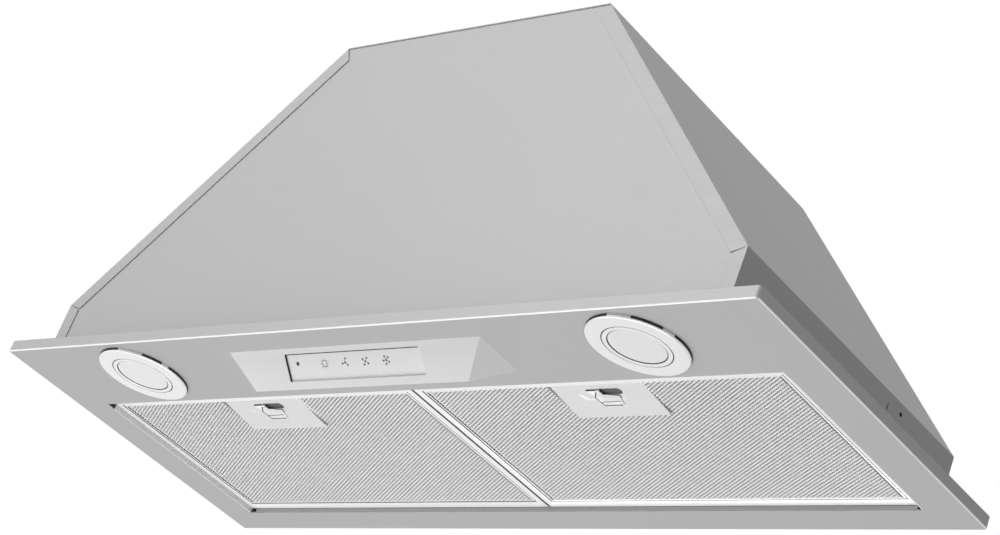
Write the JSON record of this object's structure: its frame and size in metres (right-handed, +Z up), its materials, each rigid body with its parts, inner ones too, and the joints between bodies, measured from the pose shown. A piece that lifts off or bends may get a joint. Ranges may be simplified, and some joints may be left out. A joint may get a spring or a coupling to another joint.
{
  "type": "range hood insert",
  "caption": "Built-in range hood insert: shallow steel tray with round lamps, a sloped control bar and mesh grease filters below a tapered body with a blower and a round duct collar.",
  "frame": {"origin": "centre of the seating plane, the top of the tray's rim that lies against the cabinet's underside", "axes": "+X along the long side to the right seen from the front, +Y to the back wall, +Z up to the duct"},
  "size_m": [0.75, 0.293, 0.339],
  "materials": {
    "plate_steel": "fine satin, seen at a low angle",
    "body_steel": "dull satin sheet",
    "galvanised_steel": "zinc coated sheet",
    "steel_fasteners": "zinc plated",
    "motor_paint": "semi matte",
    "lamination_steel": "stacked sheet",
    "wheel_plastic": "moulded",
    "black_plastic": "moulded",
    "capacitor_plastic": "moulded",
    "board_laminate": "coated laminate",
    "white_plastic": "light grey moulded",
    "strip_plastic": "light grey satin",
    "key_plastic": "light grey satin",
    "indicator_clear": "clear dot",
    "lamp_ring": "bright",
    "lamp_glass": "frosted diffuser",
    "lamp_body": "die cast",
    "filter_aluminium": "bright rolled",
    "mesh_aluminium": "expanded mesh",
    "latch_aluminium": "bright bent sheet"
  },
  "bodies": {
    "hood": {"back_panel": "body_steel", "blower_angles": "galvanised_steel", "cable_gland": "black_plastic", "capacitor": "capacitor_plastic", "capacitor_clip": "galvanised_steel", "collar_screws": "steel_fasteners", "control_board": "board_laminate", "control_housing": "white_plastic", "control_strip": "strip_plastic", "cover_screws": "steel_fasteners", "damper_pin": "steel_fasteners", "duct_collar": "galvanised_steel", "face_plate": "plate_steel", "front_panel": "body_steel", "housing_screws": "steel_fasteners", "indicator_lens": "indicator_clear", "lamp_bezel_left": "lamp_ring", "lamp_bezel_right": "lamp_ring", "lamp_boards": "board_laminate", "lamp_can_left": "lamp_body", "lamp_can_right": "lamp_body", "lamp_clips": "steel_fasteners", "lamp_driver": "black_plastic", "lamp_lens_left": "lamp_glass", "lamp_lens_right": "lamp_glass", "left_side_panel": "body_steel", "motor_bracket": "galvanised_steel", "motor_can": "motor_paint", "motor_end_cap": "motor_paint", "motor_screws": "steel_fasteners", "motor_stator": "lamination_steel", "right_side_panel": "body_steel", "scroll_side_left": "galvanised_steel", "scroll_side_right": "galvanised_steel", "scroll_wrap": "galvanised_steel", "terminal_block": "black_plastic", "top_plate": "body_steel", "wiring_box": "galvanised_steel", "wiring_box_cover": "galvanised_steel"},
    "impeller": {"impeller": "wheel_plastic", "impeller_nut": "steel_fasteners", "motor_shaft": "steel_fasteners", "motor_rotor": "lamination_steel"},
    "damper_left": {"damper_flap_left": "galvanised_steel"},
    "damper_right": {"damper_flap_right": "galvanised_steel"},
    "filter_left": {"filter_frame_left": "filter_aluminium", "filter_mesh_left": "mesh_aluminium", "latch_plate_left": "filter_aluminium"},
    "filter_right": {"filter_frame_right": "filter_aluminium", "filter_mesh_right": "mesh_aluminium", "latch_plate_right": "filter_aluminium"},
    "latch_left": {"latch_slide_left": "latch_aluminium", "latch_spring_left": "steel_fasteners"},
    "latch_right": {"latch_slide_right": "latch_aluminium", "latch_spring_right": "steel_fasteners"},
    "light_key": {"key_light": "key_plastic"},
    "low_key": {"key_speed_low": "key_plastic"},
    "medium_key": {"key_speed_medium": "key_plastic"},
    "high_key": {"key_speed_high": "key_plastic"}
  },
  "joints": [
    {"name": "impeller_spin", "type": "hinge", "parent": "hood", "child": "impeller", "pos_m": [0, -0.046, 0.1305], "axis": [1, 0, 0], "continuous": true},
    {"name": "damper_left_swing", "type": "hinge", "parent": "hood", "child": "damper_left", "pos_m": [0, 0.00125, 0.2885], "axis": [0, 1, 0], "range_deg": [0, 80]},
    {"name": "damper_right_swing", "type": "hinge", "parent": "hood", "child": "damper_right", "pos_m": [0, 0.00125, 0.2885], "axis": [0, -1, 0], "range_deg": [0, 80]},
    {"name": "filter_left_swing", "type": "hinge", "parent": "hood", "child": "filter_left", "pos_m": [-0.17, 0.1182, -0.0055], "axis": [1, 0, 0], "range_deg": [0, 75]},
    {"name": "latch_left_slide", "type": "slide", "parent": "filter_left", "child": "latch_left", "axis": [0, 0.9969, -0.0786], "range_m": [0, 0.0045], "stiffness_N_per_m": 500, "springref_m": -0.004},
    {"name": "filter_right_swing", "type": "hinge", "parent": "hood", "child": "filter_right", "pos_m": [0.17, 0.1182, -0.0055], "axis": [1, 0, 0], "range_deg": [0, 75]},
    {"name": "latch_right_slide", "type": "slide", "parent": "filter_right", "child": "latch_right", "axis": [0, 0.9969, -0.0786], "range_m": [0, 0.0045], "stiffness_N_per_m": 500, "springref_m": -0.004},
    {"name": "light_key_press", "type": "slide", "parent": "hood", "child": "light_key", "axis": [0, 0.6743, 0.7385], "range_m": [0, 0.0008], "stiffness_N_per_m": 1200, "springref_m": -0.0005},
    {"name": "low_key_press", "type": "slide", "parent": "hood", "child": "low_key", "axis": [0, 0.6743, 0.7385], "range_m": [0, 0.0008], "stiffness_N_per_m": 1200, "springref_m": -0.0005},
    {"name": "medium_key_press", "type": "slide", "parent": "hood", "child": "medium_key", "axis": [0, 0.6743, 0.7385], "range_m": [0, 0.0008], "stiffness_N_per_m": 1200, "springref_m": -0.0005},
    {"name": "high_key_press", "type": "slide", "parent": "hood", "child": "high_key", "axis": [0, 0.6743, 0.7385], "range_m": [0, 0.0008], "stiffness_N_per_m": 1200, "springref_m": -0.0005}
  ]
}
